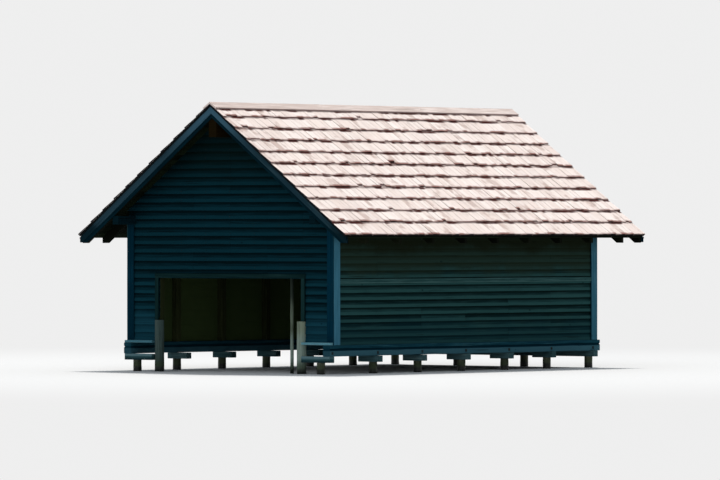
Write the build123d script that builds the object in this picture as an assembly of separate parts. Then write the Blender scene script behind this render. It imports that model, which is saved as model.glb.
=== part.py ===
from build123d import *
import math
import os

# A timber boathouse that stands over the water on piles. +Z is up and z = 0 is the water level, where the
# piles meet it. The ridge runs along Y, the gable with the boat opening faces -Y. All sizes in millimetres.

# Plan and heights of the walls
wall_width = 5000
wall_length = 8000
board_skin = 32
opening_width = 3470
opening_top = 1765

# Roof covering: its outer plane runs from the ridge down to the eave
ridge_height = 5040
eave_height = 2585
eave_overhang = 770
gable_overhang = 590

# Shingle courses, counted from the ridge
ridge_board_width = 200
top_course = 235
eave_course = 395
middle_courses = 9
butt_step = 26
shingle_bed = 36
deck_thickness = 25

# Roof timbers
rafter_depth = 150
rafter_width = 70
rafter_spaces = 8
rafter_row_end = 3900
tail_depth = 100
tail_setback = 50
deck_setback = 35
verge_setback = 62
fly_rafter_width = 60
barge_thickness = 28
barge_depth = 173
barge_setback = 25
barge_foot = 2425
purlin_width = 180
purlin_depth = 290

# Wall frame
post_size = 120
plate_width = 140
plate_top = 2925
plate_depth = 160
tie_depth = 140
header_depth = 160
brace_foot = 900
brace_head = 3740
brace_width = 130
back_post_offset = 1200

# Sills, caps and piles
sill_top = 540
sill_depth = 210
sill_width = 170
sill_proud = 15
sill_nose = 120
plank_depth = 45
cap_depth = 115
cap_width = 140
cap_length = 475
cap_proud = 60
pile_bays = 6
back_pile_row = 3900
side_pile_inset = 100
pile_radius = 80
corner_pile_inset = 260
jamb_pile_radius = 90
jamb_pile_top = 970
back_pile_offset = 830

# Boards on the face of the walls
trim_thickness = 24
corner_board_width = 190
gable_corner_width = 140
jamb_board_width = 95
head_board_depth = 85
band_depth = 80
band_drop = 90

# Mooring post just inside the opening
mooring_post_x = 1340
mooring_post_y = -3800
mooring_post_radius = 32
mooring_post_top = 2100

# Sizes worked out from the driving dimensions
half_width = wall_width / 2
half_length = wall_length / 2
eave_x = half_width + eave_overhang
verge_y = half_length + gable_overhang
pitch = math.atan2(ridge_height - eave_height, eave_x)
slope_length = math.hypot(ridge_height - eave_height, eave_x)
middle_course = (slope_length - ridge_board_width - top_course - eave_course) / middle_courses
covering = butt_step + shingle_bed
inner_face_x = half_width - board_skin
inner_face_y = half_length - board_skin
post_inner_x = inner_face_x - post_size
post_inner_y = inner_face_y - post_size
plate_bottom = plate_top - plate_depth
cap_top = sill_top - sill_depth
pile_top = cap_top - cap_depth
sill_outer = half_width + sill_proud
sill_inner = sill_outer - sill_width
cap_outer = sill_outer + cap_proud
nose_y = half_length + sill_nose
opening_edge = opening_width / 2
jamb_pile_outer = opening_edge + jamb_pile_radius
fly_outer_y = verge_y - verge_setback - barge_thickness
front_pile_row = -nose_y + cap_width / 2
pile_spacing = (back_pile_row - front_pile_row) / pile_bays
pile_rows = [front_pile_row + pile_spacing * i for i in range(pile_bays + 1)]
truss_rows = [-(inner_face_y + post_inner_y) / 2, pile_rows[2], pile_rows[4], (inner_face_y + post_inner_y) / 2]


def roof_z(x, depth):
    """Height, at a distance x from the ridge line, of the plane that lies depth below the roof's outer plane."""
    return ridge_height - depth / math.cos(pitch) - x * math.tan(pitch)


def slope_point(s, lift):
    """Point at a distance s down the right slope and lift outwards from the roof's outer plane."""
    x = s * math.cos(pitch) + lift * math.sin(pitch)
    z = ridge_height - s * math.sin(pitch) + lift * math.cos(pitch)
    return (x, z)


def block(x, y, z):
    """Rectangular timber between two limits on each axis, in any order."""
    size = (abs(x[1] - x[0]), abs(y[1] - y[0]), abs(z[1] - z[0]))
    middle = ((x[0] + x[1]) / 2, (y[0] + y[1]) / 2, (z[0] + z[1]) / 2)
    return Pos(*middle) * Box(*size)


def profile(points, y):
    """Solid with an outline of (x, z) points, between two limits along Y."""
    face = make_face(Polyline([(px, y[0], pz) for px, pz in points], close=True))
    return extrude(face, amount=y[1] - y[0], dir=(0, 1, 0))


def mirrored(points, side):
    """The outline on the right slope for side 1, or its mirror image for side -1."""
    return [(side * px, pz) for px, pz in points]


def round_post(x, y, radius, z):
    """Round post between two heights."""
    return Pos(x, y, (z[0] + z[1]) / 2) * Cylinder(radius, z[1] - z[0])


def save(name, solids):
    """Writes one sub-part, which may be several solids that don't touch."""
    export_step(Compound(children=list(solids)) if len(solids) > 1 else solids[0], f"parts/{name}.step")


def piles():
    """Round piles from the water up to the caps, the taller pair that edges the opening, and the mooring post."""
    heights = (0, pile_top)
    save("end_piles", [round_post(side * (half_width - corner_pile_inset), pile_rows[0], pile_radius, heights)
                       for side in (-1, 1)]
         + [round_post(side * back_pile_offset, pile_rows[-1], pile_radius, heights) for side in (-1, 1)])
    save("jamb_piles", [round_post(side * opening_edge, -half_length, jamb_pile_radius, (0, jamb_pile_top))
                        for side in (-1, 1)])
    for name, side in (("piles_left", -1), ("piles_right", 1)):
        save(name, [round_post(side * (half_width - side_pile_inset), y, pile_radius, heights)
                    for y in pile_rows[1:]])
    save("mooring_post", [round_post(mooring_post_x, mooring_post_y, mooring_post_radius, (0, mooring_post_top))])


def caps():
    """Short cross beams on the side piles, two at the front, and one right across at the back."""
    heights = (pile_top, cap_top)
    front = (-nose_y, -nose_y + cap_width)
    save("front_caps", [block((side * jamb_pile_outer, side * half_width), front, heights) for side in (-1, 1)])
    save("pile_caps", [block((side * (cap_outer - cap_length), side * cap_outer),
                             (y - cap_width / 2, y + cap_width / 2), heights)
                       for side in (-1, 1) for y in pile_rows[1:-1]])
    back = (pile_rows[-1] - cap_width / 2, pile_rows[-1] + cap_width / 2)
    save("back_cap", [block((-cap_outer, cap_outer), back, heights)])


def sills():
    """Heavy sills on the caps: the side ones run past both ends, the back one fits between them."""
    heights = (cap_top, sill_top)
    for name, side in (("sill_left", -1), ("sill_right", 1)):
        save(name, [block((side * sill_inner, side * sill_outer), (-nose_y, nose_y), heights)])
    save("sill_back", [block((-sill_inner, sill_inner), (half_length - sill_width, half_length), heights)])
    save("foot_planks", [block((side * jamb_pile_outer, side * half_width), (-nose_y, -inner_face_y),
                               (sill_top, sill_top + plank_depth)) for side in (-1, 1)])


def wall_frame():
    """Posts on the sills, the header over the opening, and the plates that carry the rafters."""
    heights = (sill_top, plate_bottom)
    corner_rows = [(-inner_face_y, -post_inner_y), (post_inner_y, inner_face_y)]
    for name, side in (("posts_left", -1), ("posts_right", 1)):
        width = (side * post_inner_x, side * inner_face_x)
        ends = [block(width, row, heights) for row in corner_rows]
        between = [block(width, (y - post_size / 2, y + post_size / 2), heights) for y in pile_rows[1:-1]]
        save(name, ends + between)
    jamb_posts = [block((side * opening_edge, side * (opening_edge + post_size)), corner_rows[0],
                        (jamb_pile_top, opening_top)) for side in (-1, 1)]
    back_posts = [block((x - post_size / 2, x + post_size / 2), corner_rows[1], heights)
                  for x in (-back_post_offset, back_post_offset)]
    save("gable_posts", jamb_posts + back_posts)
    save("header_beam", [block((-post_inner_x, post_inner_x), corner_rows[0],
                               (opening_top, opening_top + header_depth))])
    save("wall_plates", [block((side * (inner_face_x - plate_width), side * inner_face_x),
                               (-fly_outer_y, fly_outer_y), (plate_bottom, plate_top)) for side in (-1, 1)])


def trusses():
    """Tie beams between the plates, with king posts and braces under the ridge purlin."""
    purlin_shoulder = roof_z(purlin_width / 2, covering + deck_thickness + rafter_depth)
    purlin_bottom = purlin_shoulder - purlin_depth
    tie_top = plate_bottom + tie_depth
    half_post = post_size / 2
    rows = [(y - half_post, y + half_post) for y in truss_rows]
    tie_end = inner_face_x - plate_width
    save("tie_beams", [block((-tie_end, tie_end), row, (plate_bottom, tie_top)) for row in rows])
    save("king_posts", [block((-half_post, half_post), row, (tie_top, purlin_bottom)) for row in rows])
    brace = [(brace_foot, tie_top), (brace_foot + brace_width, tie_top),
             (half_post, brace_head + brace_width), (half_post, brace_head)]
    save("braces", [profile(mirrored(brace, side), row) for side in (-1, 1) for row in rows])
    purlin = [(-purlin_width / 2, purlin_bottom), (purlin_width / 2, purlin_bottom),
              (purlin_width / 2, purlin_shoulder), (0, roof_z(0, covering + deck_thickness + rafter_depth)),
              (-purlin_width / 2, purlin_shoulder)]
    save("ridge_purlin", [profile(purlin, (-fly_outer_y, fly_outer_y))])


def rafter_outline():
    """Right rafter, seated on the plate with a notch, its tail cut level and plumb."""
    top = covering + deck_thickness
    bottom = top + rafter_depth
    tail_x = eave_x - tail_setback
    tail_bottom = roof_z(tail_x, top) - tail_depth
    level_start = (roof_z(0, bottom) - tail_bottom) / math.tan(pitch)
    seat_start = (roof_z(0, bottom) - plate_top) / math.tan(pitch)
    return [(0, roof_z(0, top)), (tail_x, roof_z(tail_x, top)), (tail_x, tail_bottom), (level_start, tail_bottom),
            (inner_face_x, roof_z(inner_face_x, bottom)), (inner_face_x, plate_top), (seat_start, plate_top),
            (0, roof_z(0, bottom))]


def rafters():
    """Pairs of rafters between the gables, and a pair under each verge."""
    spacing = 2 * rafter_row_end / rafter_spaces
    rows = [(y - rafter_width / 2, y + rafter_width / 2)
            for y in (-rafter_row_end + spacing * i for i in range(rafter_spaces + 1))]
    rows.append((-fly_outer_y, -fly_outer_y + fly_rafter_width))
    rows.append((fly_outer_y - fly_rafter_width, fly_outer_y))
    for name, side in (("rafters_left", -1), ("rafters_right", 1)):
        save(name, [profile(mirrored(rafter_outline(), side), row) for row in rows])


def roof_skin():
    """Boarding on the rafters, the stepped shingle courses on it, and a board each side of the ridge."""
    deck_x = eave_x - deck_setback
    deck = [(0, roof_z(0, covering)), (deck_x, roof_z(deck_x, covering)),
            (deck_x, roof_z(deck_x, covering + deck_thickness)), (0, roof_z(0, covering + deck_thickness))]
    butts = [ridge_board_width + top_course + middle_course * i for i in range(middle_courses + 1)]
    butts.append(slope_length)
    steps = [(0, roof_z(0, butt_step))]
    for butt in butts[:-1]:
        steps += [slope_point(butt, 0), slope_point(butt, -butt_step)]
    steps += [slope_point(slope_length, 0), slope_point(slope_length, -covering), (0, roof_z(0, covering))]
    board_foot = -butt_step * (1 - ridge_board_width / butts[0])
    ridge = [(0, roof_z(0, butt_step)), slope_point(ridge_board_width, board_foot),
             slope_point(ridge_board_width, board_foot + butt_step), (0, ridge_height)]
    for name, side in (("left", -1), ("right", 1)):
        save("roof_boarding_" + name, [profile(mirrored(deck, side), (-fly_outer_y, fly_outer_y))])
        save("shingles_" + name, [profile(mirrored(steps, side), (-verge_y, verge_y))])
        save("ridge_board_" + name, [profile(mirrored(ridge, side), (-verge_y, verge_y))])


def bargeboards():
    """A board along each verge, over the ends of the boarding and the outermost rafters."""
    foot_x = eave_x - barge_setback
    bottom = covering + barge_depth
    foot_start = (roof_z(0, bottom) - barge_foot) / math.tan(pitch)
    board = [(0, roof_z(0, covering)), (foot_x, roof_z(foot_x, covering)), (foot_x, barge_foot),
             (foot_start, barge_foot), (0, roof_z(0, bottom))]
    for end, y in (("front", -fly_outer_y), ("back", fly_outer_y)):
        outer = y + math.copysign(barge_thickness, y)
        for name, side in (("left", -1), ("right", 1)):
            save(f"bargeboard_{end}_{name}", [profile(mirrored(board, side), sorted((y, outer)))])


def gable_panel(y):
    """Boarded gable above the opening's top, let in round the ridge purlin and the plates."""
    under = covering + deck_thickness
    outline = [(-half_width, opening_top), (half_width, opening_top), (half_width, roof_z(half_width, under)),
               (0, roof_z(0, under)), (-half_width, roof_z(half_width, under))]
    shoulder = roof_z(purlin_width / 2, under + rafter_depth)
    half_purlin = purlin_width / 2
    purlin_hole = [(-half_purlin, shoulder - purlin_depth), (half_purlin, shoulder - purlin_depth),
                   (half_purlin, shoulder), (0, roof_z(0, under + rafter_depth)), (-half_purlin, shoulder)]
    panel = profile(outline, y) - profile(purlin_hole, y)
    for side in (-1, 1):
        panel -= block((side * (inner_face_x - plate_width), side * inner_face_x), y, (plate_bottom, plate_top))
    return panel


def walls():
    """Board skins on the frame: a gable panel at each end, panels beside the opening, sides and back."""
    front = (-half_length, -inner_face_y)
    back = (inner_face_y, half_length)
    save("front_wall_gable", [gable_panel(front)])
    save("back_wall_gable", [gable_panel(back)])
    panel_bottom = sill_top + plank_depth
    for name, side in (("front_wall_left", -1), ("front_wall_right", 1)):
        panel = block((side * opening_edge, side * half_width), front, (panel_bottom, opening_top))
        notch = block((side * opening_edge, side * jamb_pile_outer), front, (panel_bottom, jamb_pile_top))
        save(name, [panel - notch])
    save("back_wall", [block((-half_width, half_width), back, (sill_top, opening_top))])
    side_top = roof_z(half_width, covering + deck_thickness + rafter_depth)
    for name, side in (("side_wall_left", -1), ("side_wall_right", 1)):
        save(name, [block((side * inner_face_x, side * half_width), (-inner_face_y, inner_face_y),
                          (sill_top, side_top))])


def face_boards():
    """Boards at the corners, a frame of boards round the opening, and the band where the upper boards drip."""
    outer_x = half_width + trim_thickness
    outer_y = half_length + trim_thickness
    top = roof_z(outer_x, covering + deck_thickness + rafter_depth)
    inner_y = outer_y - corner_board_width
    save("corner_boards", [block((side * half_width, side * outer_x), row, (sill_top, top))
                           for side in (-1, 1) for row in ((-outer_y, -inner_y), (inner_y, outer_y))])
    save("gable_corner_boards", [block((side * (half_width - gable_corner_width), side * half_width), row,
                                       (foot, plate_bottom)) for side in (-1, 1)
                                 for row, foot in (((-outer_y, -half_length), sill_top + plank_depth),
                                                   ((half_length, outer_y), sill_top))])
    save("wall_bands", [block((side * half_width, side * outer_x), (-inner_y, inner_y),
                              (opening_top - band_drop, opening_top - band_drop + band_depth))
                        for side in (-1, 1)])
    frame_edge = opening_edge + jamb_board_width
    save("head_board", [block((-frame_edge, frame_edge), (-outer_y, -half_length),
                              (opening_top, opening_top + head_board_depth))])
    save("jamb_boards", [block((side * opening_edge, side * frame_edge), (-outer_y, -half_length),
                               (jamb_pile_top, opening_top)) for side in (-1, 1)])


os.makedirs("parts", exist_ok=True)
piles()
caps()
sills()
wall_frame()
trusses()
rafters()
roof_skin()
bargeboards()
walls()
face_boards()
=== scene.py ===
import bpy
import math
import numpy as np
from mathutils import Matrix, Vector


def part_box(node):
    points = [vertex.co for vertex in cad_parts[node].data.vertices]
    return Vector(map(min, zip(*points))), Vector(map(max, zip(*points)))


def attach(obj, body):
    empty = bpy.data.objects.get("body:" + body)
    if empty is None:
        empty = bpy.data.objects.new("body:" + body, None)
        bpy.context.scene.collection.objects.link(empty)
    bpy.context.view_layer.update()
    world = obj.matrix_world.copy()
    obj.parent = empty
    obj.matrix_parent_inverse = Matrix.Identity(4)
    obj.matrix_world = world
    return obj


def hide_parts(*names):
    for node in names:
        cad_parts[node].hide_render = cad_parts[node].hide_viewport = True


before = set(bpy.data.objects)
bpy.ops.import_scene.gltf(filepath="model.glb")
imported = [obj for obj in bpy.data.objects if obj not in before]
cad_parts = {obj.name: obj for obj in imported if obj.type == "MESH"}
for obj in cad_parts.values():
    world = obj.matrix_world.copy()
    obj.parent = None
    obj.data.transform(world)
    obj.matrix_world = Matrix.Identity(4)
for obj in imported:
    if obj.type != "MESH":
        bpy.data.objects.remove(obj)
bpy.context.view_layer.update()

# Round piles carry the whole house. They are peeled softwood logs, grey and cracked above the water, and dark
# with a green band of algae where it laps at them. A tall pair edges the boat opening, the right one bleached
# and the left one painted darker as shade, and a thin pole stands just inside it for tying up, with painted
# shade on its upper part under the header. The right one and the pole are paler towards their foot.
class Signal:
    """A number on its way through a material. Sums and products of signals add Math nodes."""

    def __init__(self, finish, socket):
        self.finish = finish
        self.socket = socket

    def joined(self, operation, first, second):
        return self.finish.node("Math", {0: first, 1: second}, operation=operation)["Value"]

    def __add__(self, other):
        return self.joined("ADD", self, other)

    __radd__ = __add__

    def __sub__(self, other):
        return self.joined("SUBTRACT", self, other)

    def __rsub__(self, other):
        return self.joined("SUBTRACT", other, self)

    def __mul__(self, other):
        return self.joined("MULTIPLY", self, other)

    def least(self, other):
        return self.joined("MINIMUM", self, other)

    def most(self, other):
        return self.joined("MAXIMUM", self, other)

    def size(self):
        return self.joined("ABSOLUTE", self, 0.0)


def paint(card):
    """Linear light of a colour that is written as on a paint card, 0 to 255."""
    card = np.array(card) / 255
    light = np.where(card <= 0.04045, card / 12.92, ((card + 0.055) / 1.055) ** 2.4)
    return (*light.tolist(), 1.0)


class Finish:
    """A material under way: every node comes from node(), with its sockets and its settings.

    A colour of three numbers is one of a paint card. The piece's own colour is built up by cover().
    """

    def __init__(self, name, owner=None):
        self.material = owner or bpy.data.materials.new(name)
        self.material.use_nodes = True
        self.tree = self.material.node_tree
        self.tree.nodes.clear()

    def node(self, kind, inputs=None, **settings):
        made = self.tree.nodes.new("ShaderNode" + kind)
        for key, value in settings.items():
            setattr(made, key, value)
        for key, value in (inputs or {}).items():
            socket = next(s for k, s in enumerate(made.inputs) if key in (k, s.identifier, s.name))
            if isinstance(value, Signal):
                self.tree.links.new(value.socket, socket)
            else:
                card = socket.type == "RGBA" and len(value) == 3
                socket.default_value = paint(value) if card else value
        found = {}
        for socket in made.outputs:
            found[socket.identifier] = Signal(self, socket)
            found.setdefault(socket.name, found[socket.identifier])
        return found

    def scaled(self, vector, scale):
        """A vector with each of its numbers multiplied by its own scale."""
        return self.node("VectorMath", {0: vector, 1: scale}, operation="MULTIPLY")["Vector"]

    def uv(self, name, scale=(1, 1, 1)):
        """Coordinates of one of the piece's UV maps."""
        return self.scaled(self.node("UVMap", uv_map=name)["UV"], scale)

    def place(self, scale=(1, 1, 1)):
        """Object coordinates in metres."""
        return self.scaled(self.node("TexCoord")["Object"], scale)

    def parts(self, vector):
        """The three numbers of a vector or colour."""
        split = self.node("SeparateXYZ", {0: vector})
        return split["X"], split["Y"], split["Z"]

    def noise(self, vector, detail=3, rough=0.55):
        """Cloudy noise with features about one unit of the vector across."""
        sockets = {"Vector": vector, "Scale": 1.0, "Detail": detail, "Roughness": rough}
        return self.node("TexNoise", sockets)["Fac"]

    def grain(self, along, across, detail=3, rough=0.55):
        """Noise drawn out along the wood, with so many features a metre along it and across it."""
        return self.noise(self.uv("grain", (along, across, 1)), detail, rough)

    def step(self, value, low, high):
        """Smooth step from 0 at low to 1 at high. It falls where low is above high."""
        sockets = {"Value": value, "From Min": low, "From Max": high}
        return self.node("MapRange", sockets, interpolation_type="SMOOTHSTEP")["Result"]

    def blend(self, amount, first, second):
        """Colour that goes from first to second as amount goes from 0 to 1."""
        sockets = {"Factor_Float": amount, "A_Color": first, "B_Color": second}
        return self.node("Mix", sockets, data_type="RGBA")["Result_Color"]

    def cover(self, amount, colour):
        """Lays a colour over the piece's own, as thick as amount says."""
        self.colour = self.blend(amount, self.colour, colour)

    def board(self):
        """The piece's marks: two tones, 1 on cut ends, and 0 on faces that were never stained."""
        marks = self.node("Attribute", attribute_name="board")
        return (*self.parts(marks["Color"]), marks["Alpha"])

    def surface(self, rough, height, depth, specular):
        """Ends the material: roughness, relief of the given depth in metres, and gloss."""
        bump = self.node("Bump", {"Height": height, "Distance": depth, "Strength": 1.0})
        shader = self.node("BsdfPrincipled", {"Base Color": self.colour, "Roughness": rough,
                                              "Normal": bump["Normal"], "Specular IOR Level": specular})
        self.node("OutputMaterial", {"Surface": shader["BSDF"]})
        return self.material


def tube_faces(count, stops, corners, turned=False):
    """Faces of closed tubes whose points go by tube, stop and corner: the sides as quads, then both ends.

    Gives the tube, stop and corner at which each quad begins, the corner lists of all faces and of the ends
    alone, and where each face starts in the first list. turned is for corners that go clockwise, seen from
    the first stop.
    """
    tube, stop, corner = np.meshgrid(range(count), range(stops - 1), range(corners), indexing="ij")
    at = (tube * stops + stop) * corners
    after = (corner + 1) % corners
    quads = np.stack([at + corner, at + corners + corner, at + corners + after, at + after], -1)
    first = np.arange(count)[:, None] * stops * corners + np.arange(corners)
    rims = [first, first + (stops - 1) * corners]
    if turned:
        quads, rims = quads[..., [0, 3, 2, 1]], rims[::-1]
    ends = np.concatenate([rims[0].ravel(), rims[1][:, ::-1].ravel()])
    starts = np.concatenate([np.arange(at.size) * 4, at.size * 4 + np.arange(2 * count) * corners])
    return (tube, stop, corner), np.concatenate([quads.ravel(), ends]), ends, starts


def board_marks(tone, tube, stained, owner):
    """The attribute board, corner by corner, of tubes with two tones each.

    Its third number is 1 on the ends, and its alpha is 0 on quads that were never stained.
    """
    side = np.concatenate([tone[tube], np.zeros(tube.shape + (1,)), stained[..., None]], -1)
    ends = np.concatenate([tone[owner], np.ones((len(owner), 2))], -1)
    return np.concatenate([np.repeat(side.reshape(-1, 4), 4, 0), ends])


def joined_mesh(name, points, loops, starts, maps, marks, smooth=None):
    """Object from flat arrays: points, the faces' corner list, where each face starts, UV maps and marks."""
    mesh = bpy.data.meshes.new(name)
    mesh.vertices.add(len(points))
    mesh.vertices.foreach_set("co", points.ravel())
    mesh.loops.add(len(loops))
    mesh.loops.foreach_set("vertex_index", loops)
    mesh.polygons.add(len(starts))
    mesh.polygons.foreach_set("loop_start", starts)
    mesh.polygons.foreach_set("use_smooth", np.zeros(len(starts), bool) if smooth is None else smooth)
    for key, uv in maps.items():
        mesh.uv_layers.new(name=key).data.foreach_set("uv", uv.ravel())
    mesh.color_attributes.new("board", "FLOAT_COLOR", "CORNER").data.foreach_set("color", marks.ravel())
    mesh.update(calc_edges=True)
    piece = bpy.data.objects.new(name, mesh)
    bpy.context.scene.collection.objects.link(piece)
    return piece


def fixed(piece, material, node=None):
    """Gives a piece its finish, rides it on the building and hides the solid it stands for, if there is one.
    """
    piece.data.materials.append(material)
    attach(piece, "root")
    if node:
        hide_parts(node)


def logs(name, foot, height, radius, seed, rings=14, facets=40):
    """Round logs as one mesh, closed at both ends.

    On a grid of angle a and height t, radius = r (1 + low waves of a and t - one narrow crack), and a little
    less towards the top. The rim of the top is rounded by pulling the last two rings in.
    """
    rng = np.random.default_rng(seed)
    foot = np.asarray(foot, float)
    count = len(foot)
    a = np.linspace(0, 2 * np.pi, facets, endpoint=False)
    t = np.concatenate([np.linspace(0, 0.985, rings - 2), [0.995, 1.0]])
    phase = rng.uniform(0, 2 * np.pi, (count, 1, 1, 4))
    angle, level = a[None, :], t[:, None]
    shape = 1 + 0.012 * np.sin(2 * angle + phase[..., 0] + 1.5 * level)
    shape = shape + 0.008 * np.sin(5 * angle + phase[..., 1] + 4 * level)
    shape = shape + 0.01 * np.sin(9 * level + phase[..., 2])
    turn = np.mod(angle - phase[..., 3] - 0.25 * level + np.pi, 2 * np.pi) - np.pi
    crack = np.exp(-(turn / 0.09) ** 2)
    pull = np.ones(rings)
    pull[-2:] = (0.985, 0.94)
    r = radius * (shape - 0.07 * crack) * pull[None, :, None] * (1 - 0.04 * t[None, :, None])
    ring = np.stack([r * np.cos(angle), r * np.sin(angle), np.broadcast_to(height * level, r.shape)], -1)
    points = (ring + foot[:, None, None, :]).reshape(-1, 3)
    (tube, stop, corner), loops, ends, starts = tube_faces(count, rings, facets, turned=True)
    shift = rng.uniform(0, 40, (count, 2))
    u = height * t[np.stack([stop, stop, stop + 1, stop + 1], -1)]
    v = radius * np.stack([a[corner], a[corner] + a[1], a[corner] + a[1], a[corner]], -1)
    grain = (np.stack([u, v], -1) + shift[tube][..., None, :]).reshape(-1, 2)
    marks = board_marks(rng.uniform(0, 1, (count, 2)), tube, np.ones(tube.shape), ends // (rings * facets))
    maps = {"grain": np.concatenate([grain, points[ends, :2]])}
    return joined_mesh(name, points, loops, starts, maps, marks, np.arange(len(starts)) < tube.size)


def log_finish(name, pale, dark, wet, cards=()):
    """Peeled log: long grey streaks and cracks, a wet dark foot and green algae over it.

    cards are (colour, height where it starts, height where it is full, strength) of painted shade and other
    bands of colour by height.
    """
    f = Finish(name)
    tone = f.board()[0]
    streak = f.grain(2.2, 45, 5)
    fibre = f.grain(9, 260)
    blotch = f.noise(f.place((5, 5, 3)))
    crack = f.step(f.grain(1.4, 60, 2, 0.4), 0.36, 0.30)
    f.colour = f.blend(f.step(streak * 0.7 + tone * 0.3, 0.25, 0.75), dark, pale)
    f.cover(f.step(blotch, 0.55, 0.75) * 0.5, (72, 80, 66))
    f.cover(crack * 0.8, (22, 20, 16))
    height = f.parts(f.place())[2] + (blotch - 0.5) * 0.10
    for card, low, high, strength in cards:
        f.cover(f.step(height, low, high) * strength, card)
    f.cover(f.step(height, 0.30, 0.12) * 0.75, (44, 56, 30))
    f.cover(f.step(height, 0.13, 0.06), wet)
    rough = 0.85 - f.step(height, 0.16, 0.05) * 0.5
    return f.surface(rough, streak * 0.5 + fibre * 0.2 - crack, 0.006, 0.2)


def spans(node):
    """Lowest corner, highest corner, middle and size of a solid."""
    low, high = (np.array(corner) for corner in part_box(node))
    return low, high, (low + high) / 2, high - low


def row(x, ys, z):
    """Points at one or more places along the ridge."""
    return [(x, y, z) for y in np.atleast_1d(ys)]


def both(x, ys, z):
    """The same points on the left of the ridge line and then on the right."""
    return row(-x, ys, z) + row(x, ys, z)


pile_high, pile_mid, pile_size = spans("piles_right")[1:]
pile_radius = pile_size[0] / 2
row_end = pile_high[1] - pile_radius
end_low, end_high = spans("end_piles")[:2]
pile_rows = np.linspace(end_low[1] + pile_radius, row_end, 7)
pile_grey = log_finish("pile_wood", (104, 104, 92), (52, 54, 48), (14, 18, 14))
for name, side in (("piles_left", -1), ("piles_right", 1)):
    fixed(logs("logs_" + name, row(side * pile_mid[0], pile_rows[1:], 0), pile_high[2], pile_radius,
               11 + side), pile_grey, name)
back_pile_x = 0.83
end_feet = both(end_high[0] - pile_radius, pile_rows[0], 0) + both(back_pile_x, row_end, 0)
fixed(logs("logs_end", end_feet, pile_high[2], pile_radius, 21), pile_grey, "end_piles")
post_high, post_mid = spans("jamb_piles")[1:3]
jamb_radius = 0.09
opening_edge = post_high[0] - jamb_radius
# Painted shade on the pole's upper part, under the header; lower down it is paler towards the foot.
pale_log = log_finish("peeled_wood", (122, 134, 116), (58, 70, 60), (26, 32, 26),
                      (((12, 24, 19), 1.10, 1.45, 0.92), ((150, 172, 166), 0.84, 0.60, 0.40)))
# The left tall pile is painted darker than the right one, as shade.
shaded_jamb_log = log_finish("shaded_wood", (76, 94, 90), (42, 58, 56), (22, 28, 24))
for name, side, finish in (("left", -1, shaded_jamb_log), ("right", 1, pale_log)):
    fixed(logs("log_jamb_" + name, row(side * opening_edge, post_mid[1], 0), post_high[2], jamb_radius,
               31 + side, rings=22), finish, "jamb_piles")
mooring_high, mooring_mid, mooring_size = spans("mooring_post")[1:]
fixed(logs("log_mooring", row(*mooring_mid[:2], 0), mooring_high[2], mooring_size[0] / 2, 41, rings=30,
           facets=24), pale_log, "mooring_post")


# Caps and sills are squared timbers, stained blue grey years ago and worn pale along their edges. Each cap
# lies on its pile under the sills, which are built up of two timbers with an open seam between them and
# run past both gables. Painted shade darkens the seam and the top edge of each sill under the lowest wall
# board, and the lower timber is paler. Planks lie on them beside the opening, the left one painted darker as
# shade.
def carried(name, section, start, end, up=(0, 0, 1), stations=(0, 1), cuts=(0, 0), waver=0.0, lead=0.0,
            rough=(), seed=0):
    """Many timbers as one mesh: each is a closed outline carried along a straight path, with its ends closed.

    point = start + along (station length + cut x) + across (x + waver) + up (y + waver), where (x, y) goes
    anticlockwise round the outline, along runs from start to end and across = along x up. A cut is the lean
    of an end's plane. UV maps: grain is metres along and around, face is -1 to 1 over breadth and depth, and
    span is metres from either end, the first one less lead. The sides of the outline listed in rough were
    never stained.
    """
    rng = np.random.default_rng(seed)
    count = max(len(np.atleast_2d(start)), len(np.atleast_2d(end)))
    start, end, up = (np.broadcast_to(np.asarray(rows, float), (count, 3)) for rows in (start, end, up))
    stops, corners = np.shape(stations)[-1], np.shape(section)[-2]
    section = np.broadcast_to(section, (count, stops, corners, 2))
    length = np.linalg.norm(end - start, axis=1)
    along = (end - start) / length[:, None]
    across = np.cross(along, up)
    across /= np.linalg.norm(across, axis=1)[:, None]
    up = np.cross(across, along)
    x, y = section[..., 0], section[..., 1]
    lean = np.zeros((count, stops, 1))
    lean[:, 0, 0], lean[:, -1, 0] = cuts
    travel = np.broadcast_to(stations, (count, stops))[..., None] * length[:, None, None] + lean * x
    drift = rng.normal(0, waver, (count, stops, 1, 2)) if waver else np.zeros((count, stops, 1, 2))
    points = (start[:, None, None] + travel[..., None] * along[:, None, None]
              + (x + drift[..., 0])[..., None] * across[:, None, None]
              + (y + drift[..., 1])[..., None] * up[:, None, None]).reshape(-1, 3)
    (n, s, i), loops, ends, starts = tube_faces(count, stops, corners)
    after = (i + 1) % corners
    shift = rng.uniform(0, 60, (count, 2))
    rim = np.linalg.norm(np.roll(section, -1, 2) - section, axis=-1)
    around = np.concatenate([np.zeros((count, stops, 1)), np.cumsum(rim, 2)], 2)
    u = np.stack([travel[n, s, i], travel[n, s + 1, i], travel[n, s + 1, after], travel[n, s, after]], -1)
    v = np.stack([around[n, s, i], around[n, s, i], around[n, s, i + 1], around[n, s, i + 1]], -1)
    grain = (np.stack([u, v], -1) + shift[n][..., None, :]).reshape(-1, 2)
    hidden = np.broadcast_to(lead, (count,))[n][..., None]
    span = np.stack([u - hidden, length[n][..., None] - u], -1).reshape(-1, 2)
    face = (section / np.abs(section).max((1, 2))[:, None, None]).reshape(-1, 2)
    owner = ends // (stops * corners)
    maps = {"grain": np.concatenate([grain, section.reshape(-1, 2)[ends] + shift[owner]]),
            "face": face[loops], "span": np.concatenate([span, np.zeros((len(ends), 2))])}
    marks = board_marks(rng.uniform(0, 1, (count, 2)), n, ~np.isin(i, rough), owner)
    return joined_mesh(name, points, loops, starts, maps, marks)


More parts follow.
